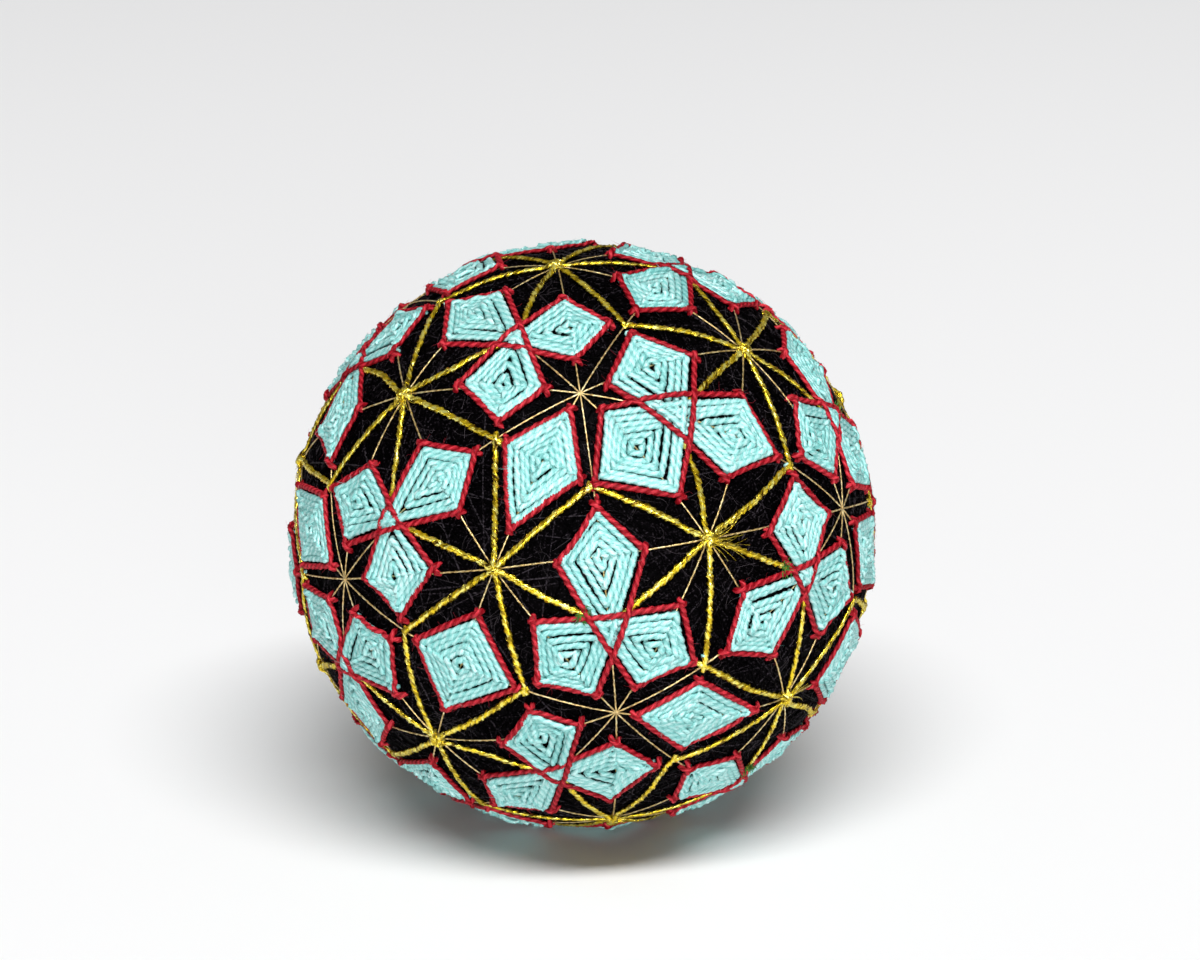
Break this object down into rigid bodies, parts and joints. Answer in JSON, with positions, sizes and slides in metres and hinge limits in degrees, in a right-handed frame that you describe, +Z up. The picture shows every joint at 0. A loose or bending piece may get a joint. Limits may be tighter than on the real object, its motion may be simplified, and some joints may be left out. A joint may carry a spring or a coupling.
{
  "type": "temari ball",
  "caption": "Thread-wound black ball embroidered with pale aqua diamonds edged in crimson, some crossing in trefoils, with metallic gold stars between them.",
  "frame": {"origin": "middle of the small flat spot the ball rests on, at floor level", "axes": "+Z up, +X to the right and -Y towards the viewer in the view the ball is laid out for"},
  "size_m": [0.0749, 0.075, 0.0737],
  "materials": {
    "winding": "matte wound sewing thread, slightly fuzzy",
    "edge": "soft sheen two-ply pearl cotton, crimson",
    "gold": "sparkling yellow gold metallic braid",
    "marking": "fine pale gold metallic thread",
    "motif": "soft sheen two-ply pearl cotton, pale aqua"
  },
  "bodies": {
    "root": {"ball": "winding", "bridge_A0_A4": "motif", "bridge_A1_B0": "motif", "bridge_A1_B1": "motif", "bridge_A3_B3": "motif", "bridge_B1_B2": "motif", "bridge_B2_B3": "motif", "rim_A0_A1_B0": "motif", "rim_A1_B0_B1": "motif", "rim_A2_A1_B1": "motif", "rim_A3_B2_B3": "motif", "rim_A4_A3_B3": "motif", "rim_B0_A1_B1": "motif", "rim_B1_B2_S": "motif", "rim_B2_A2_B1": "motif", "rim_B3_A3_B2": "motif", "rim_B4_A0_A4": "motif", "rim_N_A0_A4": "motif", "rim_S_B2_B3": "motif", "trefoil_A0_B4": "motif", "trefoil_A0_N": "motif", "trefoil_A1_A0": "motif", "trefoil_A1_A2": "motif", "trefoil_A2_B2": "motif", "trefoil_A2_N": "motif", "trefoil_A3_A2": "motif", "trefoil_A3_A4": "motif", "trefoil_A4_B4": "motif", "trefoil_A4_N": "motif", "trefoil_B0_A0": "motif", "trefoil_B0_S": "motif", "trefoil_B1_A2": "motif", "trefoil_B1_B0": "motif", "trefoil_B2_A3": "motif", "trefoil_B2_S": "motif", "trefoil_B3_A4": "motif", "trefoil_B3_S": "motif", "trefoil_B4_B0": "motif", "trefoil_B4_B3": "motif", "trefoil_N_A1": "motif", "trefoil_N_A3": "motif", "trefoil_S_B1": "motif", "trefoil_S_B4": "motif"}
  },
  "joints": []
}
